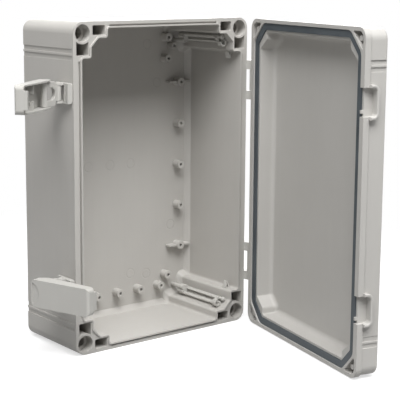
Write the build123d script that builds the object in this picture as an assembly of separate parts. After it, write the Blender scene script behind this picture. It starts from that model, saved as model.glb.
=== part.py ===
from build123d import *
import math
import os

# Frame: X to the right, Y to the back, Z up, in millimetres. The origin is the middle
# of the flat back face that goes against the wall. The enclosure stands upright with
# its lid hinged on the right and swung open.

# Overall sizes
WIDTH = 200.0
HEIGHT = 300.0
BASE_DEPTH = 84.0
LID_DEPTH = 23.0
CORNER_R = 9.5
DRAFT_DEG = 0.5

# Base shell
BACK_WALL = 4.0
SIDE_INSET = 8.5            # front rim, outer face to inner edge, left and right
TOP_INSET = 6.0             # the same, top and bottom
BACK_BEVEL = 5.0            # bevel between the back wall and the side walls
STEP_FILLET = 2.4
TONGUE = 1.5                # width of the tongue that presses on the gasket
TONGUE_H = 1.2
GROOVE_W = 1.5
GROOVE_DEEP = 1.6

# Stepped inner corner, measured from the outer corner
STEP_FAR = 36.0
STEP_NEAR = 14.5
DIAG_FAR = 26.5
DIAG_NEAR = 18.5
STEP_LOW = 32.0
POCKET_WALL = 2.5
POCKET_SKIN = 3.4
POCKET_BOTTOM = 14.0        # what is left behind the pockets, from the back face
POCKET_LONG = 13.0
POCKET_R = 1.2

# Corner tubes for the wall screws
TUBE_IN = 10.0
TUBE_MOUTH_R = 7.7
TUBE_MOUTH_DEEP = 10.0
TUBE_WALL = 1.9
TUBE_BORE_R = 5.3
TUBE_FLOOR = 8.0
WALL_SCREW_R = 2.6

# Bosses on the back wall
BOSS_R = 4.2
BOSS_H = 9.0
PILOT_R = 1.5
PILOT_DEEP = 6.0
COLUMN_X = 76.0
COLUMN_PITCH = 42.0
COLUMN_COUNT = 5
ROW_PITCH = 25.5
ROW_COUNT = 5
ROW_IN = 27.0
EXTRA_X = 60.0
EXTRA_IN = (37.0, 21.0)
SMALL_X = 67.0
SMALL_IN = 29.5
SMALL_R = 3.0
GUSSET_T = 1.8
GUSSET_LONG = 13.0

# Ridge lines across the sides
RIDGE_IN = (25.5, 31.5)
LID_RIDGE_IN = (29.7, 35.5)
RIDGE_W = 4.0
RIDGE_DEEP = 0.8
RIDGE_BACK = 2.5            # from the rim to the ridge lines' rounded ends
PANEL_DEEP = 0.4            # the middle of each side lies this far below its ends

# Panel rails on the bevels of the hinge-side corners
RAIL_OFF = 0.3              # from the bevel to the rail's pads
PAD_T = 1.0
RAIL_T = 2.6
RAIL_W = 9.4
RAIL_SLOT = 3.4
RAIL_FRONT = 11.0           # from the front rim to the rail's head
RAIL_BACK = 6.0             # from the bevelled back edge to the rail's foot
HEAD_T = 4.0
HEAD_W = 7.6
EYE_R = 1.5
BALL_R = 2.3
NECK_R = 1.3
NECK_LONG = 5.0
HOOK_R = 3.6
HOOK_BAND = 1.3
HOOK_LONG = 5.0
FOOT_LONG = 9.0
FOOT_T = 5.2
PEG_R = 2.0
PEG_OFF = 8.0               # from the bevel to the peg on the back wall

# Panel clips on the ledges beside the rails
CLIP_FRONT = 9.0            # from the front rim to the clip
CLIP_T = 5.0
CLIP_IN = 13.6              # clip's middle from the outer side
CLIP_BASE = 5.2
CLIP_H = 7.0
CLIP_ARM = 1.3
CLIP_FOOT_T = 1.2

# Lid
LID_IN = 0.7                # the lid's edge inside the base's edge
LID_GAP = 0.3
FLANGE_DEEP = 5.7
LID_BODY_IN = 1.0
LID_FRONT_FILLET = 2.5
CHANNEL_PLAY = 0.5          # from the base's tongue to the channel's outer wall
CHANNEL_CUT = 17.5          # bevel across the channel's corners
CHANNEL_DEEP = 7.5
GASKET_W = 6.4
LIP_T = 2.2
LIP_LOW = 2.4               # inner lip below the lid's rim
LID_FLOOR = 18.0            # from the lid's rim to its floor
LID_FLOOR_R = 4.5           # round along the foot of the lid's inner walls
LID_WALL_DRAFT = 6.0
WELL_ACROSS = 11.5          # the well's stepped corners
WELL_DOWN = 7.0
WELL_SLANT = 9.0
LID_POCKET_DEEP = 12.0
LID_POCKET_SKIN = 2.4
LID_POCKET_R = 6.0
LID_POCKET_TIP_R = 1.2
PLUG_R = 3.6
PLUG_TIP_R = 2.4
PLUG_LOW = 2.0

# Lid hinges
HINGE_IN = 60.0             # hinge centre from the top and from the bottom
HINGE_OUT = 4.0             # hinge axis beyond the base's side
HINGE_AHEAD = 4.6           # hinge axis in front of the base's rim
BARREL_R = 3.0
PIN_R = 1.2
PIN_CLEAR = 0.05
KNUCKLE_MID = 20.0
KNUCKLE_END = 8.6
KNUCKLE_GAP = 0.3
LEAF_T = 2.2
LEAF_LONG = 16.0
LEAF_HALF = 20.0
LEAF_FIT = 0.1
BLOCK_REACH = 8.0           # how far the base leaf's end blocks run back from the rim
BLOCK_SLOT = (1.5, 4.0)     # slot through each end block, ahead of and behind the rim
BLOCK_SLOT_H = 2.4
BARREL_ARM = 3.4
LID_LEAF_LONG = 12.0
LID_LEAF_HALF = 20.0
RIB_T = 1.1
RIB_PITCH = 2.7
RIB_COUNT = 3
RIB_POCKET_DEEP = 1.7
OPEN_DEG = 76.0             # the lid as shown, from closed

# Latches
LATCH_IN = 62.0
PIVOT_OUT = 7.0             # bracket pivot beyond the side wall
PIVOT_BACK = 14.0           # bracket pivot behind the rim
LINK_LONG = 19.0
LINK_T = 3.6
LINK_EYE_R = 3.2
LINK_BAR = 5.0
TRUNNION_R = 2.0
TRUNNION_CLEAR = 0.05
EAR_R = 3.4
EAR_IN = 6.8
EAR_OUT = 9.0
PLATE_T = 2.3
BRACKET_FRONT = 1.5
BRACKET_LONG = 26.0
BLOCK_OUT = 5.0
BLOCK_LONG = 6.0
BLOCK_GROOVE = (2.4, 1.2, 1.0)   # groove across the block: from its front, width, depth
RAIL_OUT = 4.2
WINDOW_HALF = 5.6
NUB_HALF = 1.7
NUB_OUT = 3.4
SNAP_SLOT = 1.2
SIDE_PLAY = 0.3
LEVER_HALF = 12.5
LEVER_WALL = 1.5
LEVER_SKIN = 2.2
LEVER_TAIL = 14.0           # from the pivot to the rounded thumb end
LEVER_PIVOT_IN = 8.0        # lever's pivot below its outer face
LEVER_DEEP = 12.6
LEVER_TIP_DEEP = 8.4
LEVER_TIP_R = 2.6
TAIL_CUT = 4.0
TAIL_DEEP = 6.0
HOOK_REACH = 12.1           # the hook's edge below the lever's outer face
HOOK_T = 2.8
HOOK_HALF = 8.0
HOOK_PLAY = 0.7
WEB_AT = 25.0               # the two webs inside the lever, from its pivot
WEB_T = 1.5
WEB_H = 6.0
WEB_IN = 3.0
ARC_R = 15.0
ARC_T = 1.1
ARC_H = 3.4
THUMB_R = 9.5
THUMB_IN = 9.0
THUMB_DEEP = 0.6
CLOSED_LINK_DEG = 98.0
CLOSED_LEVER_DEG = 275.0
UPPER_LINK_DEG = 198.7
UPPER_LEVER_DEG = 217.7
LOWER_LINK_DEG = 204.0
LOWER_LEVER_DEG = 288.0

# Catch on the lid
CATCH_HALF = 12.0
CATCH_DEEP = 10.9           # pocket's far edge from the lid's rim
CATCH_IN = 3.6              # pocket's floor below the lid's side
CATCH_OUT = 3.6             # bow above the lid's side
CATCH_BAND = 2.6
BOW_R = 3.4
BOW_ROOT = 0.5              # how far the bow's arms run onto the flange
CATCH_WALL_LOW = 2.2        # the wall behind the pocket, below the lid's rim
CATCH_NUB = (-8.0, 1.4)     # nub on that wall: height from the catch's middle, half width

BACK_Y = 0.0
RIM_Y = BACK_Y - BASE_DEPTH
LID_RIM_Y = RIM_Y - LID_GAP
LID_FRONT_Y = LID_RIM_Y - LID_DEPTH
INNER_BACK_Y = BACK_Y - BACK_WALL
HALF_W = WIDTH / 2
HALF_H = HEIGHT / 2
CHANNEL_SIDE = SIDE_INSET - TONGUE - CHANNEL_PLAY
CHANNEL_TOP = TOP_INSET - TONGUE - CHANNEL_PLAY
HINGE_X = HALF_W + HINGE_OUT
HINGE_Y = RIM_Y - HINGE_AHEAD
PIVOT_X = -HALF_W - PIVOT_OUT
PIVOT_Y = RIM_Y + PIVOT_BACK
LID_SIDE = HALF_W - LID_IN
LEVER_IN = LEVER_HALF - LEVER_WALL
# How far the hook lies from the lever's pivot, worked out from the closed latch
CLOSED_PIVOT_V = PIVOT_BACK + LINK_LONG * math.sin(math.radians(CLOSED_LINK_DEG))
HOOK_DEPTH = LID_GAP + CATCH_DEEP + CATCH_BAND + HOOK_PLAY
HOOK_AT = (CLOSED_PIVOT_V + HOOK_DEPTH) / math.cos(math.radians(CLOSED_LEVER_DEG - 270))
LEVER_TIP = HOOK_AT + HOOK_T
ENDS = {"upper": 1, "lower": -1}
SIGNS = (1, -1)
LATCH_REST = {
    "upper": (UPPER_LINK_DEG, UPPER_LEVER_DEG),
    "lower": (LOWER_LINK_DEG, LOWER_LEVER_DEG),
}


def facing(y):
    """A plane across the enclosure at depth y, seen from the front."""
    return Plane(origin=(0, y, 0), x_dir=(1, 0, 0), z_dir=(0, -1, 0))


def box_between(x, y, z):
    """A box from three (low, high) pairs."""
    sizes = [abs(high - low) for low, high in (x, y, z)]
    middle = [(low + high) / 2 for low, high in (x, y, z)]
    return Pos(*middle) * Box(*sizes)


def rod(x, z, r, y_from, y_to):
    """A round bar along Y."""
    return extrude(facing(y_from) * Pos(x, z) * Circle(r), y_from - y_to)


def upright(x, y, r, z_from, z_to):
    """A round bar along Z."""
    return extrude(Plane.XY.offset(z_from) * Pos(x, y) * Circle(r), z_to - z_from)


def slab(points, z_from, z_to):
    """A closed profile in the XY plane, raised from one height to another."""
    return extrude(Plane.XY.offset(z_from) * make_face(Polyline(*points, close=True)), z_to - z_from)


def outer_outline(inset):
    """The rounded outline of base or lid, seen from the front."""
    return RectangleRounded(WIDTH - 2 * inset, HEIGHT - 2 * inset, CORNER_R)


def ridge_cuts(half_w, y_front, long, lean, insets):
    """The ridge lines across the two long sides and the shallow middle of each."""
    cuts = Part()
    for side in SIGNS:
        place = Pos(side * half_w, y_front, 0) * Rot(0, 0, side * lean)
        middle = HALF_H - insets[-1]
        bars = box_between((-PANEL_DEEP, PANEL_DEEP), (0, long), (-middle, middle))
        for inset in insets:
            for z in (HALF_H - inset, inset - HALF_H):
                bars += box_between((-RIDGE_DEEP, RIDGE_DEEP), (0, long), (z - RIDGE_W / 2, z + RIDGE_W / 2))
        cuts += place * bars
    return cuts


def stepped_outline(grow=0.0):
    """The inside of the base, with a step and a bevel beside each corner tube."""
    corner = [
        (HALF_W - STEP_FAR, HALF_H - TOP_INSET),
        (HALF_W - STEP_FAR, HALF_H - STEP_NEAR),
        (HALF_W - DIAG_FAR, HALF_H - STEP_NEAR),
        (HALF_W - DIAG_NEAR, HALF_H - (DIAG_FAR + STEP_NEAR - DIAG_NEAR)),
        (HALF_W - DIAG_NEAR, HALF_H - STEP_LOW),
        (HALF_W - SIDE_INSET, HALF_H - STEP_LOW),
    ]
    points = list(corner)
    points += [(x, -z) for x, z in reversed(corner)]
    points += [(-x, -z) for x, z in corner]
    points += [(-x, z) for x, z in reversed(corner)]
    face = make_face(Polyline(*points, close=True))
    face = fillet(face.vertices(), STEP_FILLET)
    return offset(face, grow) if grow else face


def channel_outline(inset=0.0):
    """The outer edge of the lid's gasket channel, with its corners cut across."""
    face = Rectangle(WIDTH - 2 * CHANNEL_SIDE, HEIGHT - 2 * CHANNEL_TOP)
    face = chamfer(face.vertices(), CHANNEL_CUT)
    face = fillet(face.vertices(), LIP_T + GASKET_W + 1)
    return offset(face, -inset) if inset else face


def well_outline():
    """The hollow inside the lid's inner lip, with a step and a slant at each corner."""
    half_w = HALF_W - CHANNEL_SIDE - GASKET_W - LIP_T
    half_h = HALF_H - CHANNEL_TOP - GASKET_W - LIP_T
    corner = [
        (half_w - WELL_ACROSS, half_h),
        (half_w - WELL_ACROSS, half_h - WELL_DOWN),
        (half_w, half_h - WELL_DOWN - WELL_SLANT),
    ]
    points = list(corner)
    points += [(x, -z) for x, z in reversed(corner)]
    points += [(-x, -z) for x, z in corner]
    points += [(-x, z) for x, z in reversed(corner)]
    face = make_face(Polyline(*points, close=True))
    return fillet(face.vertices(), STEP_FILLET)


def corners():
    """The four corners as signs of X and Z."""
    return [(sx, sz) for sx in SIGNS for sz in SIGNS]


def boss_places():
    """(x, z) of each boss on the back wall."""
    half_column = (COLUMN_COUNT - 1) / 2
    half_row = (ROW_COUNT - 1) / 2
    places = []
    for side in SIGNS:
        places += [(side * COLUMN_X, (i - half_column) * COLUMN_PITCH) for i in range(COLUMN_COUNT)]
        places += [(side * EXTRA_X, EXTRA_IN[0] - HALF_H), (side * EXTRA_X, HALF_H - EXTRA_IN[1])]
        places += [(side * EXTRA_X, HALF_H - EXTRA_IN[1] - BOSS_R * 5)]
    places += [((i - half_row) * ROW_PITCH, ROW_IN - HALF_H) for i in range(ROW_COUNT)]
    return places


def corner_cut(sx, sz):
    """What is cut from one corner of the base: the screw tube and the two pockets."""
    x = sx * (HALF_W - TUBE_IN)
    z = sz * (HALF_H - TUBE_IN)
    cut = rod(x, z, TUBE_MOUTH_R, RIM_Y + TUBE_MOUTH_DEEP, RIM_Y - 1)
    cut += rod(x, z, TUBE_BORE_R, BACK_Y - TUBE_FLOOR, RIM_Y)
    cut += rod(x, z, WALL_SCREW_R, BACK_Y + 1, RIM_Y)
    floor = BACK_Y - POCKET_BOTTOM
    far = STEP_FAR - POCKET_WALL
    tall = STEP_NEAR - POCKET_WALL - POCKET_SKIN
    beside = Pos(sx * (HALF_W - far + POCKET_LONG / 2), sz * (HALF_H - POCKET_SKIN - tall / 2))
    beside *= RectangleRounded(POCKET_LONG, tall, POCKET_R)
    low = STEP_LOW - POCKET_WALL
    thick = DIAG_NEAR - POCKET_WALL - POCKET_SKIN
    below = Pos(sx * (HALF_W - POCKET_SKIN - thick / 2), sz * (HALF_H - low + POCKET_LONG / 2))
    below *= RectangleRounded(thick, POCKET_LONG, POCKET_R)
    tube = Pos(x, z) * Circle(TUBE_MOUTH_R + TUBE_WALL)
    for sketch in (beside, below):
        cut += extrude(facing(floor) * (sketch - tube), floor - RIM_Y + 1)
    return cut


def rim_cuts():
    """The step of the outer lip and the groove beside the tongue along each side."""
    y = (RIM_Y - 1, RIM_Y + GROOVE_DEEP)
    edge = HALF_W - SIDE_INSET + TONGUE
    half = HALF_H - STEP_LOW - POCKET_WALL
    cut = box_between((edge, edge + GROOVE_W), y, (-half, half))
    cut += box_between((-edge - GROOVE_W, -edge), y, (-half, half))
    edge = HALF_H - TOP_INSET + TONGUE
    half = HALF_W - STEP_FAR - POCKET_WALL
    cut += box_between((-half, half), y, (edge, edge + GROOVE_W))
    cut += box_between((-half, half), y, (-edge - GROOVE_W, -edge))
    return cut


def bosses():
    """Screw bosses with pilot holes; the end ones of each column have gussets."""
    solid = Part()
    holes = Part()
    top = INNER_BACK_Y - BOSS_H
    for x, z in boss_places():
        solid += rod(x, z, BOSS_R, INNER_BACK_Y + 1, top)
        holes += rod(x, z, PILOT_R, top + PILOT_DEEP, top - 1)
    for x in (-SMALL_X, SMALL_X):
        solid += rod(x, HALF_H - SMALL_IN, SMALL_R, INNER_BACK_Y + 1, top)
        holes += rod(x, HALF_H - SMALL_IN, PILOT_R, top + PILOT_DEEP, top - 1)
    reach = (COLUMN_COUNT - 1) / 2 * COLUMN_PITCH
    half = GUSSET_T / 2
    for x in (-COLUMN_X, COLUMN_X):
        for z in (-reach, reach):
            along = (x - GUSSET_LONG, x + GUSSET_LONG)
            solid += box_between(along, (top + 2, INNER_BACK_Y + 1), (z - half, z + half))
    return solid, holes


def hinge_z(end):
    return ENDS[end] * (HALF_H - HINGE_IN)


def latch_z(end):
    return ENDS[end] * (HALF_H - LATCH_IN)


def leaf_pocket(end):
    """The shallow pocket in the base's side that takes the hinge leaf."""
    z = hinge_z(end)
    half = LEAF_HALF + LEAF_FIT
    deep = HALF_W - LEAF_T - LEAF_FIT
    return box_between((deep, HALF_W + 5), (RIM_Y - 5, RIM_Y + LEAF_LONG + LEAF_FIT), (z - half, z + half))


def base_shell():
    """The deep tray: walls, stepped corners, screw tubes, pockets, rim and bosses."""
    shrink = BASE_DEPTH * math.tan(math.radians(DRAFT_DEG))
    body = extrude(facing(BACK_Y) * outer_outline(shrink), BASE_DEPTH, taper=-DRAFT_DEG)
    bevel_y = INNER_BACK_Y - BACK_BEVEL
    cavity = extrude(facing(bevel_y) * stepped_outline(), bevel_y - RIM_Y + 5)
    cavity += extrude(facing(bevel_y) * stepped_outline(), -BACK_BEVEL, taper=45)
    body -= cavity
    ring = stepped_outline(TONGUE) - stepped_outline()
    body += extrude(facing(RIM_Y + 1) * ring, TONGUE_H + 1)
    solid, holes = bosses()
    body += solid
    body -= holes
    body -= rim_cuts()
    body -= ridge_cuts(HALF_W, RIM_Y + RIDGE_BACK, BASE_DEPTH, DRAFT_DEG, RIDGE_IN)
    for end in ENDS:
        body -= leaf_pocket(end)
    for sx, sz in corners():
        body -= corner_cut(sx, sz)
    return body


def bevel_place(end, off):
    """The middle of a hinge-side corner's bevel, off it by this much towards the inside."""
    x = HALF_W - (DIAG_FAR + DIAG_NEAR) / 2
    z = HALF_H - STEP_NEAR - (DIAG_FAR - DIAG_NEAR) / 2
    step = off / math.sqrt(2)
    turn = -45 if ENDS[end] > 0 else 45
    return Pos(x - step, ENDS[end] * (z - step)) * Rot(0, 0, turn)


def panel_rail(end):
    """A slotted strip along the corner's bevel, with a head, a hook, a ball and a foot."""
    head_y = RIM_Y + RAIL_FRONT
    foot_y = INNER_BACK_Y - BACK_BEVEL - RAIL_BACK
    inside = -ENDS[end]
    middle = RAIL_OFF + PAD_T + RAIL_T / 2
    strip = RectangleRounded(RAIL_W, RAIL_T, RAIL_T / 3) - Rectangle(RAIL_SLOT, 2 * RAIL_T)
    body = extrude(facing(foot_y + 1) * (bevel_place(end, middle) * strip), foot_y - head_y + 2)
    head = bevel_place(end, middle) * RectangleRounded(RAIL_W, HEAD_W - RAIL_T, 1.2)
    eye = bevel_place(end, middle) * Circle(EYE_R)
    body += extrude(facing(head_y + HEAD_T) * (head - eye), HEAD_T)
    pad = bevel_place(end, RAIL_OFF + PAD_T) * Rectangle(RAIL_W / 2, 2 * PAD_T)
    for y in (head_y + HEAD_T, foot_y):
        body += extrude(facing(y) * pad, HEAD_T)
    side = (RAIL_W + RAIL_SLOT) / 4
    ball_at = bevel_place(end, middle) * Pos(inside * side, 0)
    ring_at = bevel_place(end, RAIL_OFF + PAD_T / 2 + HOOK_R) * Pos(-inside * side, 0)
    body += extrude(facing(head_y + 1) * (ball_at * Circle(NECK_R)), NECK_LONG + 1)
    tip = facing(head_y - NECK_LONG) * ball_at
    body += tip * Sphere(BALL_R)
    ring = Circle(HOOK_R) - Circle(HOOK_R - HOOK_BAND) - Pos(inside * HOOK_R, 0) * Rectangle(HOOK_R, HOOK_R)
    body += extrude(facing(head_y + 1) * (ring_at * ring), HOOK_LONG)
    foot_off = RAIL_OFF + PAD_T + FOOT_T / 2
    foot = bevel_place(end, foot_off) * RectangleRounded(RAIL_W, FOOT_T, 1.2)
    body += extrude(facing(foot_y + 1) * foot, FOOT_LONG)
    peg = bevel_place(end, PEG_OFF)
    body += extrude(facing(INNER_BACK_Y) * (peg * Circle(PEG_R)), INNER_BACK_Y - foot_y + FOOT_LONG - 1)
    tie = bevel_place(end, (foot_off + PEG_OFF) / 2) * Rectangle(2 * PEG_R, PEG_OFF - foot_off + PEG_R)
    return body + extrude(facing(foot_y + 1) * tie, FOOT_LONG)


def panel_clip(end):
    """The V-shaped clip that stands on the ledge beside a panel rail."""
    ledge = HALF_H - STEP_LOW
    half = CLIP_BASE / 2
    arm = CLIP_ARM
    low = CLIP_FOOT_T
    foot = [(-half, 0), (half, 0), (half, low), (-half, low)]
    left = [(-half, low / 2), (-half + arm, low / 2), (arm / 2, CLIP_H), (-arm / 2, CLIP_H)]
    right = [(-x, y) for x, y in left]
    outline = Sketch() + [make_face(Polyline(*points, close=True)) for points in (foot, left, right)]
    turn = 180 if ENDS[end] > 0 else 0
    place = Pos(HALF_W - CLIP_IN, ENDS[end] * ledge) * Rot(0, 0, turn)
    return extrude(facing(RIM_Y + CLIP_FRONT + CLIP_T) * (place * outline), CLIP_T)


def opened(part):
    """The lid's pieces are drawn closed and swung open about the hinges."""
    axis = Axis((HINGE_X, HINGE_Y, 0), (0, 0, 1))
    return part.rotate(axis, OPEN_DEG)


def lid_corner_pocket(sx, sz):
    """The pocket between the lid's rounded corner and the bevel of its channel."""
    inset = LID_IN + LID_BODY_IN + LID_POCKET_SKIN
    x = HALF_W - inset
    z = HALF_H - inset
    line = CHANNEL_CUT + CHANNEL_SIDE + CHANNEL_TOP - LID_POCKET_SKIN * math.sqrt(2)
    across = line - 2 * inset
    points = [(sx * x, sz * z), (sx * (x - across), sz * z), (sx * x, sz * (z - across))]
    face = make_face(Polyline(*points, close=True))
    square = face.vertices().sort_by_distance((sx * x, sz * z, 0))
    face = fillet(square[0], LID_POCKET_R)
    tips = [v for v in face.vertices() if v.distance_to(Vertex(sx * x, sz * z)) > LID_POCKET_R + 1]
    face = fillet(tips, LID_POCKET_TIP_R)
    cut = extrude(facing(LID_RIM_Y - LID_POCKET_DEEP) * face, -LID_POCKET_DEEP - 1)
    plug_x = sx * (HALF_W - TUBE_IN)
    plug_z = sz * (HALF_H - TUBE_IN)
    height = LID_POCKET_DEEP - PLUG_LOW + 1
    foot = facing(LID_RIM_Y - LID_POCKET_DEEP - 1) * Pos(plug_x, plug_z)
    taper = math.degrees(math.atan2(PLUG_R - PLUG_TIP_R, height))
    return cut - extrude(foot * Circle(PLUG_R), -height, taper=taper)


def catch_pocket(end):
    """The pocket in the lid's free side behind the bow, and its lowered inner wall."""
    z = latch_z(end)
    y = (LID_RIM_Y - CATCH_DEEP, LID_RIM_Y + 1)
    cut = box_between((-LID_SIDE + CATCH_IN, -LID_SIDE - 5), y, (z - CATCH_HALF, z + CATCH_HALF))
    wall = (-HALF_W + CHANNEL_SIDE + 1, -LID_SIDE - 5)
    cut += box_between(wall, (LID_RIM_Y - CATCH_WALL_LOW, LID_RIM_Y + 1), (z - CATCH_HALF, z + CATCH_HALF))
    at, half = CATCH_NUB
    nub_z = z + at
    return cut - box_between((wall[0] - 1, -LID_SIDE + CATCH_IN), y, (nub_z - half, nub_z + half))


def catch_bow(end):
    """The rounded bow on the lid's side that the lever's hook pulls on."""
    outer = CATCH_HALF + CATCH_BAND
    near = FLANGE_DEEP - BOW_ROOT
    far = CATCH_DEEP + CATCH_BAND
    bow = Pos(0, (near + far) / 2) * Rectangle(2 * outer, far - near)
    bow = fillet(bow.vertices().sort_by(Axis.Y)[-2:], CATCH_BAND + BOW_R)
    hole = Pos(0, CATCH_DEEP / 2) * Rectangle(2 * CATCH_HALF, CATCH_DEEP)
    hole = fillet(hole.vertices().sort_by(Axis.Y)[-2:], BOW_R)
    place = Plane(origin=(-LID_SIDE - CATCH_OUT, LID_RIM_Y, latch_z(end)), x_dir=(0, 0, 1), z_dir=(1, 0, 0))
    band = extrude(place * (bow - hole), CATCH_OUT + CATCH_IN)
    return fillet(band.faces().sort_by(Axis.X)[0].outer_wire().edges(), CATCH_BAND / 3)


def lid_leaf_pocket(end):
    """The pocket in the lid's hinged side that takes the hinge's lid leaf."""
    z = hinge_z(end)
    half = LID_LEAF_HALF + LEAF_FIT
    deep = LID_SIDE - LEAF_T - LEAF_FIT
    y = (LID_RIM_Y - LID_LEAF_LONG - LEAF_FIT, LID_RIM_Y + 5)
    return box_between((deep, LID_SIDE + 5), y, (z - half, z + half))


def closed_lid():
    """The shallow cover: flange, gasket channel, inner lip and rounded well."""
    body = extrude(facing(LID_RIM_Y) * outer_outline(LID_IN), FLANGE_DEEP)
    cover = extrude(facing(LID_RIM_Y) * outer_outline(LID_IN + LID_BODY_IN), LID_DEPTH)
    cover = fillet(cover.faces().sort_by(Axis.Y)[0].edges(), LID_FRONT_FILLET)
    cover -= ridge_cuts(LID_SIDE - LID_BODY_IN, LID_FRONT_Y - 1, LID_DEPTH - FLANGE_DEEP + 1, 0, LID_RIDGE_IN)
    body += cover
    body -= extrude(facing(LID_RIM_Y) * channel_outline(), CHANNEL_DEEP)
    lip = channel_outline(GASKET_W)
    body += extrude(facing(LID_RIM_Y - LIP_LOW) * lip, CHANNEL_DEEP - LIP_LOW)
    well = extrude(facing(LID_RIM_Y - LIP_LOW) * well_outline(), LID_FLOOR - LIP_LOW, taper=LID_WALL_DRAFT)
    body -= fillet(well.faces().sort_by(Axis.Y)[0].edges(), LID_FLOOR_R)
    for sx, sz in corners():
        body -= lid_corner_pocket(sx, sz)
    for end in ENDS:
        body -= catch_pocket(end)
        body += catch_bow(end)
        body -= lid_leaf_pocket(end)
    return body


def closed_gasket():
    """The soft seal that lies in the channel between the rim and the inner lip."""
    face = channel_outline(LEAF_FIT) - channel_outline(GASKET_W - LEAF_FIT)
    return extrude(facing(LID_RIM_Y - TONGUE_H) * face, CHANNEL_DEEP - TONGUE_H)


def knuckle(z_from, z_to):
    return upright(HINGE_X, HINGE_Y, BARREL_R, z_from, z_to)


def pin_hole(z):
    reach = LEAF_HALF + 5
    return upright(HINGE_X, HINGE_Y, PIN_R + PIN_CLEAR, z - reach, z + reach)


def hinge_base_leaf(end):
    """A plate sunk in the base's side; its end blocks carry the hinge's end barrels."""
    z = hinge_z(end)
    x_in = HALF_W - LEAF_T
    leaf = box_between((x_in, HALF_W), (RIM_Y, RIM_Y + LEAF_LONG), (z - LEAF_HALF, z + LEAF_HALF))
    block = [
        (HALF_W - 1, RIM_Y),
        (HALF_W, RIM_Y),
        (HALF_W + 1, HINGE_Y),
        (HINGE_X + BARREL_R, HINGE_Y),
        (HINGE_X + BARREL_R * 0.7, RIM_Y + 1),
        (HALF_W, RIM_Y + BLOCK_REACH),
        (HALF_W - 1, RIM_Y + BLOCK_REACH),
    ]
    near = KNUCKLE_MID / 2 + KNUCKLE_GAP
    ahead, behind = BLOCK_SLOT
    for side in SIGNS:
        low, high = sorted((z + side * near, z + side * (near + KNUCKLE_END)))
        leaf += slab(block, low, high) + knuckle(low, high)
        middle = (low + high) / 2
        slot = (middle - BLOCK_SLOT_H / 2, middle + BLOCK_SLOT_H / 2)
        leaf -= box_between((HALF_W + 1, HINGE_X + BARREL_R + 1), (RIM_Y - ahead, RIM_Y + behind), slot)
    return leaf - pin_hole(z)


def hinge_lid_leaf(end):
    """A plate sunk in the lid's side with ribbed pockets; it carries the long barrel."""
    z = hinge_z(end)
    x_in = LID_SIDE - LEAF_T
    y = (LID_RIM_Y - LID_LEAF_LONG, LID_RIM_Y)
    leaf = box_between((x_in, LID_SIDE), y, (z - LID_LEAF_HALF, z + LID_LEAF_HALF))
    half = KNUCKLE_MID / 2
    arm = (HINGE_Y - BARREL_R, HINGE_Y - BARREL_R + BARREL_ARM)
    leaf += box_between((LID_SIDE - 1, HINGE_X), arm, (z - half, z + half))
    leaf += knuckle(z - half, z + half)
    deep = (LID_SIDE - RIB_POCKET_DEEP, LID_SIDE + 1)
    wide = (y[0] + 1.5, LID_RIM_Y - 1.2)
    pocket = (RIB_COUNT + 1) * (RIB_PITCH - RIB_T) + RIB_COUNT * RIB_T
    start = LID_LEAF_HALF - 0.8 - pocket
    for side in SIGNS:
        low, high = sorted((z + side * start, z + side * (start + pocket)))
        leaf -= box_between(deep, wide, (low, high))
        for i in range(RIB_COUNT):
            rib = low + (i + 1) * RIB_PITCH - RIB_T
            leaf += box_between((deep[0] - 0.2, LID_SIDE), wide, (rib, rib + RIB_T))
    return leaf - pin_hole(z)


def hinge_pin(end):
    z = hinge_z(end)
    half = KNUCKLE_MID / 2 + KNUCKLE_GAP + KNUCKLE_END
    return upright(HINGE_X, HINGE_Y, PIN_R, z - half, z + half)


def latch_bracket(end):
    """The plate on the side wall with a window, side rails and the ears of the link."""
    z = latch_z(end)
    wall = -HALF_W
    front = RIM_Y + BRACKET_FRONT
    back = front + BRACKET_LONG
    body = box_between((wall, wall - PLATE_T), (front, back), (z - EAR_OUT, z + EAR_OUT))
    body = fillet(body.edges().filter_by(Axis.X), 2.0)
    inside = wall - PLATE_T + 1
    block_end = front + BLOCK_LONG
    body += box_between((inside, wall - BLOCK_OUT), (front, block_end), (z - EAR_OUT, z + EAR_OUT))
    start, wide, deep = BLOCK_GROOVE
    groove = (front + start, front + start + wide)
    floor = (wall - BLOCK_OUT + deep, wall - BLOCK_OUT - 1)
    body -= box_between(floor, groove, (z - EAR_OUT - 1, z + EAR_OUT + 1))
    window = (block_end, PIVOT_Y - EAR_R)
    body -= box_between((wall + 1, inside - 2), window, (z - WINDOW_HALF, z + WINDOW_HALF))
    nub = (block_end - 0.5, (window[0] + window[1]) / 2)
    body += box_between((wall, wall - NUB_OUT), nub, (z - NUB_HALF, z + NUB_HALF))
    spread = EAR_R + 2
    ear = make_face(Polyline(
        (inside, PIVOT_Y - spread),
        (inside, PIVOT_Y + spread),
        (PIVOT_X, PIVOT_Y + EAR_R),
        (PIVOT_X, PIVOT_Y - EAR_R),
        close=True,
    ))
    ear += Pos(PIVOT_X, PIVOT_Y) * Circle(EAR_R)
    ear -= Pos(PIVOT_X, PIVOT_Y) * Circle(TRUNNION_R + TRUNNION_CLEAR)
    for side in SIGNS:
        low, high = sorted((z + side * EAR_IN, z + side * EAR_OUT))
        body += extrude(Plane.XY.offset(low) * ear, high - low)
        body += box_between((inside, wall - RAIL_OUT), (block_end - 1, PIVOT_Y - EAR_R), (low, high))
        slot = (PIVOT_X + TRUNNION_R, PIVOT_X + TRUNNION_R + SNAP_SLOT)
        body -= box_between(slot, (PIVOT_Y - SNAP_SLOT / 2, PIVOT_Y + SNAP_SLOT / 2), (low - 1, high + 1))
    return body


def placed(part, end, x, y, angle):
    """A latch piece drawn along +X from its pivot at the origin, set in place."""
    return Pos(x, y, latch_z(end)) * Rot(0, 0, angle) * part


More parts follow.
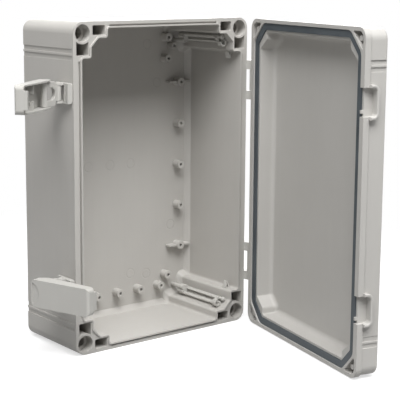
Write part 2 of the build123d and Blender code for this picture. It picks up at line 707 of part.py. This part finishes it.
def level(y):
    """A plane along the latch piece at this height, X towards its free end."""
    return Plane(origin=(0, y, 0), x_dir=(1, 0, 0), z_dir=(0, -1, 0))


def link_blank():
    """The link between bracket and lever: a D-shaped window and moulded pins."""
    narrow = EAR_IN - SIDE_PLAY
    wide = LEVER_IN - SIDE_PLAY
    long = LINK_LONG
    body = upright(0, 0, LINK_EYE_R, -narrow, narrow) + upright(long, 0, LINK_EYE_R, -wide, wide)
    turn = EAR_R + 1.2
    outline = [(0, narrow), (turn, narrow), (turn + 2, wide), (long, wide)]
    outline += [(x, -z) for x, z in reversed(outline)]
    web = make_face(Polyline(*outline, close=True))
    hole_half = wide - LINK_BAR
    start = LINK_EYE_R + 0.8
    window = Pos((start + long) / 2 + 1, 0) * Rectangle(long - start - 2, 2 * hole_half)
    window = fillet(window.vertices().sort_by(Axis.X)[:2], hole_half - 0.6)
    body += extrude(level(0) * web, LINK_T / 2, both=True)
    body -= extrude(level(0) * window, 2 * LINK_EYE_R, both=True)
    body += upright(0, 0, TRUNNION_R, -EAR_OUT, EAR_OUT)
    for side in SIGNS:
        body += upright(long, 0, TRUNNION_R, *sorted((side * hole_half, side * LEVER_HALF)))
    return body


def lever_profile():
    """The lever from the side: tip at +X, outer face at -Y, thumb end rounded."""
    top = -LEVER_PIVOT_IN
    deep = top + LEVER_DEEP
    tip_deep = top + LEVER_TIP_DEEP
    points = [(-LEVER_TAIL, top), (LEVER_TIP, top), (LEVER_TIP, tip_deep)]
    points += [(LINK_EYE_R, deep), (-TAIL_CUT, deep), (-LEVER_TAIL, top + TAIL_DEEP)]
    face = make_face(Polyline(*points, close=True))
    return fillet(face.vertices().sort_by_distance((LEVER_TIP, top, 0))[0], LEVER_TIP_R)


def lever_blank():
    """The hollow lever: outer skin, side walls, hooked tip, webs and curved ribs."""
    body = extrude(Plane.XY * lever_profile(), LEVER_HALF, both=True)
    skin = -LEVER_PIVOT_IN + LEVER_SKIN
    inner = [(-LEVER_TAIL - 5, skin), (HOOK_AT, skin), (HOOK_AT, LEVER_DEEP), (-LEVER_TAIL - 5, LEVER_DEEP)]
    body -= slab(inner, -LEVER_IN, LEVER_IN)
    root = -LEVER_PIVOT_IN + LEVER_TIP_R
    edge = -LEVER_PIVOT_IN + HOOK_REACH
    hook = [(HOOK_AT, root), (LEVER_TIP, root), (LEVER_TIP, edge), (HOOK_AT, edge)]
    body += slab(hook, -HOOK_HALF, HOOK_HALF)
    outline = RectangleRounded(LEVER_TIP + LEVER_TAIL, 2 * LEVER_HALF, 4.0)
    body &= extrude(level(0) * Pos((LEVER_TIP - LEVER_TAIL) / 2, 0) * outline, 30, both=True)
    thumb = Pos(-LEVER_TAIL - THUMB_R + THUMB_IN, 0) * Circle(THUMB_R)
    thumb -= Pos(-LEVER_TAIL, 0) * Rectangle(3, 3 * THUMB_R)
    body -= extrude(level(-LEVER_PIVOT_IN + THUMB_DEEP) * thumb, 5)
    web_end = WEB_AT + WEB_T
    web = [(WEB_AT, skin - 0.5), (web_end, skin - 0.5), (web_end, skin + WEB_H), (WEB_AT, skin + WEB_H)]
    for side in SIGNS:
        low, high = sorted((side * WEB_IN, side * (LEVER_IN + 0.5)))
        body += slab(web, low, high)
    middle = (WEB_AT + WEB_T + HOOK_AT) / 2
    room = extrude(level(0) * Pos(middle, 0) * Rectangle(HOOK_AT - WEB_AT, 2 * LEVER_IN + 0.5), 20, both=True)
    for side in SIGNS:
        centre = Pos(middle, side * (ARC_R + ARC_T))
        arc = level(skin + ARC_H) * centre * (Circle(ARC_R + ARC_T / 2) - Circle(ARC_R - ARC_T / 2))
        body += extrude(arc, ARC_H + 0.5) & room
    body -= upright(0, 0, TRUNNION_R + TRUNNION_CLEAR, -LEVER_HALF - 1, LEVER_HALF + 1)
    return body


def latch_link(end):
    return placed(link_blank(), end, PIVOT_X, PIVOT_Y, LATCH_REST[end][0])


def latch_lever(end):
    link_deg, lever_deg = LATCH_REST[end]
    x = PIVOT_X + LINK_LONG * math.cos(math.radians(link_deg))
    y = PIVOT_Y + LINK_LONG * math.sin(math.radians(link_deg))
    return placed(lever_blank(), end, x, y, lever_deg)


def main():
    os.makedirs("parts", exist_ok=True)
    parts = {
        "base_shell": base_shell(),
        "lid_shell": opened(closed_lid()),
        "lid_gasket": opened(closed_gasket()),
    }
    for end in ENDS:
        parts[f"{end}_hinge_base_leaf"] = hinge_base_leaf(end)
        parts[f"{end}_hinge_lid_leaf"] = opened(hinge_lid_leaf(end))
        parts[f"{end}_hinge_pin"] = hinge_pin(end)
        parts[f"{end}_latch_bracket"] = latch_bracket(end)
        parts[f"{end}_latch_link"] = latch_link(end)
        parts[f"{end}_latch_lever"] = latch_lever(end)
        parts[f"{end}_panel_rail"] = panel_rail(end)
        parts[f"{end}_panel_clip"] = panel_clip(end)
    for name, part in parts.items():
        export_step(part, f"parts/{name}.step")


if __name__ == "__main__":
    main()
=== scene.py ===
import bpy
import math
from mathutils import Matrix, Vector


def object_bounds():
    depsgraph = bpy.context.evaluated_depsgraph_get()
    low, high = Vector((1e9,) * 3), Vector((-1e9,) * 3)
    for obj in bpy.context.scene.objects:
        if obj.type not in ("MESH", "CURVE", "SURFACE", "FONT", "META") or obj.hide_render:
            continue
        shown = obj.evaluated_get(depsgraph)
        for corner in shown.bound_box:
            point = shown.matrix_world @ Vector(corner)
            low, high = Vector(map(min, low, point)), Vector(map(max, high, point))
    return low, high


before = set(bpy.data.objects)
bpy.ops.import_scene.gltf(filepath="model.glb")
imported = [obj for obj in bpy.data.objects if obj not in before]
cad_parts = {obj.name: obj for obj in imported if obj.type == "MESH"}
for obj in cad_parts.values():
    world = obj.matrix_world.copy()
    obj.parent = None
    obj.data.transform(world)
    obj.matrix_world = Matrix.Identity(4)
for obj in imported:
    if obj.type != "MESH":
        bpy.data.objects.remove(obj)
cad_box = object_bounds()

# Lengths are in metres, colours are linear

# Moulded plastic
EDGE_R = 0.0005                       # rounding of the moulded edges
CLOUD_SCALE, CLOUD_SHARE = 9.0, 0.8   # large flow marks and their share of the colour change
STREAK_SCALE, STREAK_SHARE = 160.0, 0.2
STREAK_STRETCH = (1.0, 1.0, 0.12)     # the streaks run along the tall side
WAVE_SCALE, WAVE_DEPTH = 22.0, 0.0006
SHELL_GRAIN, SHELL_ROUGH = 1500.0, (0.44, 0.58)
FITTING_GRAIN, FITTING_ROUGH = 1800.0, (0.36, 0.48)
SHELL_GRAIN_DEPTH, FITTING_GRAIN_DEPTH = 0.00004, 0.00002
BASE_TONES = (0.475, 0.46, 0.435), (0.515, 0.50, 0.473)
# The lid's tones are the base's grey made lighter: painted light, standing in for light falling on the
# lid
LID_TONES_WITH_PAINTED_LIGHT = (0.505, 0.492, 0.468), (0.545, 0.532, 0.507)
FITTING_TONES = (0.50, 0.49, 0.463), (0.54, 0.53, 0.502)

# Ejector pins' round marks on the base's back wall, centres as (x, z)
BACK_WALL_Y = -0.004
EJECTOR_R = 0.0047
EJECTOR_LINE = (0.0001, 0.0010)       # half the mark's width, where it starts and ends to fade
EJECTOR_DEPTH = 0.0002
EJECTOR_TONE = 0.6
EJECTOR_MARKS = (
    (-0.0062, 0.0058), (-0.0315, 0.0063), (0.0188, 0.0053),
    (0.0402, 0.1228), (0.0515, 0.0842), (-0.0232, 0.1265),
    (0.018, -0.1067), (0.0379, -0.1097), (0.0688, -0.0627),
)

# Gasket and pins
FOAM_CELLS, FOAM_CLOUD, FOAM_ROUGH = 1400.0, 40.0, (0.5, 0.7)
FOAM_TONES = (0.050, 0.062, 0.072), (0.085, 0.100, 0.112)
WIRE_LINES, WIRE_ROUGH = 2600.0, (0.22, 0.42)
WIRE_STRETCH = (1.0, 1.0, 0.04)       # the drawing lines run along the pin
WIRE_COLOUR = (0.56, 0.56, 0.57, 1)

# Floor and surroundings
FLOOR_SIZE = 12
FLOOR_GAP = 0.0002
FLOOR_NEAR, FLOOR_FAR = 0.30, 0.55    # the shadow fades out between these distances
FLOOR_DULL, FLOOR_PALE, FLOOR_GLOW = 0.3, 0.5, 0.62
WORLD_COLOUR, WORLD_STRENGTH = (0.97, 1.0, 0.99), 0.03

# Softboxes: name, place, aim, size, watts
LIGHTS = (
    ("key", (-1.3, -1.5, 2.5), (0, -0.08, 0), 1.6, 50),
    ("front", (0, -1.8, 2.6), (0, -0.08, 0), 1.6, 70),
    ("near_left", (-0.35, -0.35, 0.8), (0, -0.08, 0), 0.6, 4.2),
    ("left_fill", (-1.3, -0.25, 0.3), (0, -0.1, 0), 1.0, 1.3),
    ("rear_fill", (1.3, 1.0, 0.8), (0, 0, 0), 1.2, 24),
)

# Camera: the photograph's place, turn and framing
CAMERA_AT = (-0.6753, -0.9610, 0.1926)
PITCH, YAW, ROLL = math.radians(9.788), math.radians(38.342), math.radians(0.224)
SENSOR_WIDTH, LENS = 36.0, 108.45     # millimetres
SHIFT_X, SHIFT_Y = 0.05, -0.05


def new_material(name):
    """An empty node material with its shader."""
    mat = bpy.data.materials.new(name)
    mat.use_nodes = True
    tree = mat.node_tree
    tree.nodes.clear()
    out = tree.nodes.new("ShaderNodeOutputMaterial")
    shader = tree.nodes.new("ShaderNodeBsdfPrincipled")
    tree.links.new(shader.outputs[0], out.inputs["Surface"])
    return mat, tree, shader


def object_place(tree):
    return tree.nodes.new("ShaderNodeTexCoord").outputs["Object"]


def stretched(tree, coord, scale):
    node = tree.nodes.new("ShaderNodeMapping")
    node.inputs["Scale"].default_value = scale
    tree.links.new(coord, node.inputs["Vector"])
    return node.outputs["Vector"]


def noise(tree, coord, scale, detail, rough=0.5):
    node = tree.nodes.new("ShaderNodeTexNoise")
    node.inputs["Scale"].default_value = scale
    node.inputs["Detail"].default_value = detail
    node.inputs["Roughness"].default_value = rough
    tree.links.new(coord, node.inputs["Vector"])
    return node.outputs["Fac"]


def ranged(tree, value, before, after):
    """Maps the range before onto the range after and stops at its ends."""
    node = tree.nodes.new("ShaderNodeMapRange")
    node.inputs["From Min"].default_value, node.inputs["From Max"].default_value = before
    node.inputs["To Min"].default_value, node.inputs["To Max"].default_value = after
    tree.links.new(value, node.inputs["Value"])
    return node.outputs["Result"]


def spread(tree, value, low=0.0, high=1.0):
    """Maps the middle of a noise onto low..high."""
    return ranged(tree, value, (0.3, 0.7), (low, high))


def mixed(tree, fac, dark, light):
    node = tree.nodes.new("ShaderNodeMix")
    node.data_type = "RGBA"
    node.inputs["A"].default_value = (*dark, 1)
    node.inputs["B"].default_value = (*light, 1)
    tree.links.new(fac, node.inputs["Factor"])
    return node.outputs["Result"]


def bumped(tree, shader, height, distance, strength, under=None):
    """Bump on top of the normal under it, linked to the shader until a later one replaces it."""
    node = tree.nodes.new("ShaderNodeBump")
    node.inputs["Distance"].default_value = distance
    node.inputs["Strength"].default_value = strength
    tree.links.new(height, node.inputs["Height"])
    if under is not None:
        tree.links.new(under, node.inputs["Normal"])
    tree.links.new(node.outputs["Normal"], shader.inputs["Normal"])
    return node.outputs["Normal"]


def arithmetic(tree, operation, first, second=None):
    """A math node; a number or a socket goes into each input."""
    node = tree.nodes.new("ShaderNodeMath")
    node.operation = operation
    for place, value in enumerate((first, second)):
        if isinstance(value, (int, float)):
            node.inputs[place].default_value = value
        elif value is not None:
            tree.links.new(value, node.inputs[place])
    return node.outputs[0]


def ejector_rings(tree, coord):
    """1 on the faint round marks of the ejector pins on the base's back wall, 0 elsewhere."""
    nearest = None
    for x, z in EJECTOR_MARKS:
        reach = tree.nodes.new("ShaderNodeVectorMath")
        reach.operation = "DISTANCE"
        reach.inputs[1].default_value = (x, BACK_WALL_Y, z)
        tree.links.new(coord, reach.inputs[0])
        from_circle = arithmetic(tree, "SUBTRACT", reach.outputs["Value"], EJECTOR_R)
        off_ring = arithmetic(tree, "ABSOLUTE", from_circle)
        nearest = off_ring if nearest is None else arithmetic(tree, "MINIMUM", nearest, off_ring)
    return ranged(tree, nearest, EJECTOR_LINE, (1.0, 0.0))


def moulded(name, tones, grain, rough, grain_depth, rings=False):
    """Moulded grey plastic: slight flow marks in the colour, a fine spark-eroded grain."""
    mat, tree, shader = new_material(name)
    coord = object_place(tree)
    cloud = noise(tree, coord, CLOUD_SCALE, 4.0, 0.55)
    streaks = noise(tree, stretched(tree, coord, STREAK_STRETCH), STREAK_SCALE, 3.0, 0.6)
    cloud_tone = arithmetic(tree, "MULTIPLY", spread(tree, cloud), CLOUD_SHARE)
    streak_tone = arithmetic(tree, "MULTIPLY", spread(tree, streaks), STREAK_SHARE)
    tone = arithmetic(tree, "ADD", cloud_tone, streak_tone)
    fine = noise(tree, coord, grain, 2.0, 0.6)
    tree.links.new(spread(tree, fine, *rough), shader.inputs["Roughness"])
    edge = tree.nodes.new("ShaderNodeBevel")
    edge.samples = 4
    edge.inputs["Radius"].default_value = EDGE_R
    wave = noise(tree, coord, WAVE_SCALE, 2.0, 0.4)
    soft = bumped(tree, shader, wave, WAVE_DEPTH, 0.12, edge.outputs["Normal"])
    if rings:
        marks = ejector_rings(tree, coord)
        sunk = arithmetic(tree, "SUBTRACT", 1.0, marks)
        soft = bumped(tree, shader, sunk, EJECTOR_DEPTH, 1.0, soft)
        tone = arithmetic(tree, "SUBTRACT", tone, arithmetic(tree, "MULTIPLY", marks, EJECTOR_TONE))
    tree.links.new(mixed(tree, tone, *tones), shader.inputs["Base Color"])
    bumped(tree, shader, fine, grain_depth, 0.6, soft)
    shader.inputs["Specular IOR Level"].default_value = 0.42
    return mat


def foam(name):
    """Closed-cell sealing foam: near black, with a skin of fine pores."""
    mat, tree, shader = new_material(name)
    coord = object_place(tree)
    cells = tree.nodes.new("ShaderNodeTexVoronoi")
    cells.inputs["Scale"].default_value = FOAM_CELLS
    tree.links.new(coord, cells.inputs["Vector"])
    cloud = noise(tree, coord, FOAM_CLOUD, 3.0)
    tree.links.new(mixed(tree, spread(tree, cloud), *FOAM_TONES), shader.inputs["Base Color"])
    tree.links.new(spread(tree, cloud, *FOAM_ROUGH), shader.inputs["Roughness"])
    bumped(tree, shader, cells.outputs["Distance"], 0.0002, 0.35)
    return mat


def steel(name):
    """Drawn wire: lines along the pin."""
    mat, tree, shader = new_material(name)
    lines = noise(tree, stretched(tree, object_place(tree), WIRE_STRETCH), WIRE_LINES, 2.0)
    tree.links.new(spread(tree, lines, *WIRE_ROUGH), shader.inputs["Roughness"])
    bumped(tree, shader, lines, 0.00003, 0.4)
    shader.inputs["Base Color"].default_value = WIRE_COLOUR
    shader.inputs["Metallic"].default_value = 1.0
    return mat


def dress(nodes):
    """Gives each node of the CAD model its material."""
    base = moulded("base_grey", BASE_TONES, SHELL_GRAIN, SHELL_ROUGH, SHELL_GRAIN_DEPTH, rings=True)
    # The lid gets a lighter copy of the base's grey: painted light on the lid
    lid_painted_light = moulded("lid_grey_painted_light", LID_TONES_WITH_PAINTED_LIGHT, SHELL_GRAIN, SHELL_ROUGH, SHELL_GRAIN_DEPTH)
    fitting = moulded("fitting_grey", FITTING_TONES, FITTING_GRAIN, FITTING_ROUGH, FITTING_GRAIN_DEPTH)
    special = {"base_shell": base, "lid_shell": lid_painted_light, "lid_gasket": foam("gasket_foam")}
    pin = steel("pin_steel")
    for name, obj in nodes.items():
        mat = pin if name.endswith("hinge_pin") else special.get(name, fitting)
        for place in obj.material_slots:
            place.material = mat
        if not obj.material_slots:
            obj.data.materials.append(mat)


def seen_white(tree):
    """1 where the camera, a reflection or clear material looks, 0 for the light itself."""
    rays = tree.nodes.new("ShaderNodeLightPath")
    seen = arithmetic(tree, "MAXIMUM", rays.outputs["Is Camera Ray"], rays.outputs["Is Glossy Ray"])
    return arithmetic(tree, "MAXIMUM", seen, rays.outputs["Is Transmission Ray"])


def blended(tree, fac, first, second):
    node = tree.nodes.new("ShaderNodeMixShader")
    for place, value in enumerate((fac, first, second)):
        tree.links.new(value, node.inputs[place])
    return node.outputs[0]


def emitting(tree, kind, strength, colour=(1, 1, 1)):
    """An emission or background shader."""
    node = tree.nodes.new(kind)
    node.inputs["Color"].default_value = (*colour, 1)
    node.inputs["Strength"].default_value = strength
    return node.outputs[0]


def matt(tree, grey):
    node = tree.nodes.new("ShaderNodeBsdfDiffuse")
    node.inputs["Color"].default_value = (grey, grey, grey, 1)
    return node.outputs[0]


def lay_floor():
    """White to the camera, with the object's shadow close to it, and a dull grey to the light."""
    level = cad_box[0][2] - FLOOR_GAP
    bpy.ops.mesh.primitive_plane_add(size=FLOOR_SIZE, location=(0, 0, level))
    floor = bpy.context.object
    floor.name = "floor"
    mat = bpy.data.materials.new("floor_white")
    mat.use_nodes = True
    tree = mat.node_tree
    tree.nodes.clear()
    out = tree.nodes.new("ShaderNodeOutputMaterial")
    shaded = tree.nodes.new("ShaderNodeAddShader")
    tree.links.new(matt(tree, FLOOR_PALE), shaded.inputs[0])
    tree.links.new(emitting(tree, "ShaderNodeEmission", FLOOR_GLOW), shaded.inputs[1])
    plain = emitting(tree, "ShaderNodeEmission", 1.0)
    reach = tree.nodes.new("ShaderNodeVectorMath")
    reach.operation = "LENGTH"
    tree.links.new(object_place(tree), reach.inputs[0])
    far = ranged(tree, reach.outputs["Value"], (FLOOR_NEAR, FLOOR_FAR), (0.0, 1.0))
    shown = blended(tree, far, shaded.outputs[0], plain)
    lit = matt(tree, FLOOR_DULL)
    tree.links.new(blended(tree, seen_white(tree), lit, shown), out.inputs["Surface"])
    floor.data.materials.append(mat)


def surround():
    """Weak plain light on the object, white where the camera, a reflection or glass sees it."""
    world = bpy.data.worlds.new("studio")
    bpy.context.scene.world = world
    world.use_nodes = True
    tree = world.node_tree
    tree.nodes.clear()
    out = tree.nodes.new("ShaderNodeOutputWorld")
    lit = emitting(tree, "ShaderNodeBackground", WORLD_STRENGTH, WORLD_COLOUR)
    white = emitting(tree, "ShaderNodeBackground", 1.0)
    tree.links.new(blended(tree, seen_white(tree), lit, white), out.inputs["Surface"])


def area_light(name, place, aim, size, watts):
    """A square softbox at a place, turned towards a point."""
    data = bpy.data.lights.new(name, "AREA")
    data.shape = "SQUARE"
    data.size = size
    data.energy = watts
    lamp = bpy.data.objects.new(name, data)
    bpy.context.collection.objects.link(lamp)
    lamp.location = place
    lamp.rotation_euler = (Vector(aim) - Vector(place)).to_track_quat("-Z", "Y").to_euler()


def place_camera():
    """Pitch is down from level, yaw is right of +Y, roll is about the line of sight."""
    ahead_x, ahead_y = math.sin(YAW) * math.cos(PITCH), math.cos(YAW) * math.cos(PITCH)
    forward = Vector((ahead_x, ahead_y, -math.sin(PITCH)))
    right = Vector((math.cos(YAW), -math.sin(YAW), 0))
    up = right.cross(forward)
    turned_right = right * math.cos(ROLL) + up * math.sin(ROLL)
    turned_up = up * math.cos(ROLL) - right * math.sin(ROLL)
    rows = Matrix((turned_right, turned_up, -forward)).transposed()
    data = bpy.data.cameras.new("camera")
    data.sensor_width = SENSOR_WIDTH
    data.lens = LENS
    data.shift_x = SHIFT_X
    data.shift_y = SHIFT_Y
    data.clip_start = 0.01
    camera = bpy.data.objects.new("camera", data)
    bpy.context.collection.objects.link(camera)
    camera.matrix_world = Matrix.Translation(CAMERA_AT) @ rows.to_4x4()
    bpy.context.scene.camera = camera


dress(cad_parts)
lay_floor()
surround()
for light in LIGHTS:
    area_light(*light)
place_camera()
bpy.context.scene.view_settings.view_transform = "Standard"
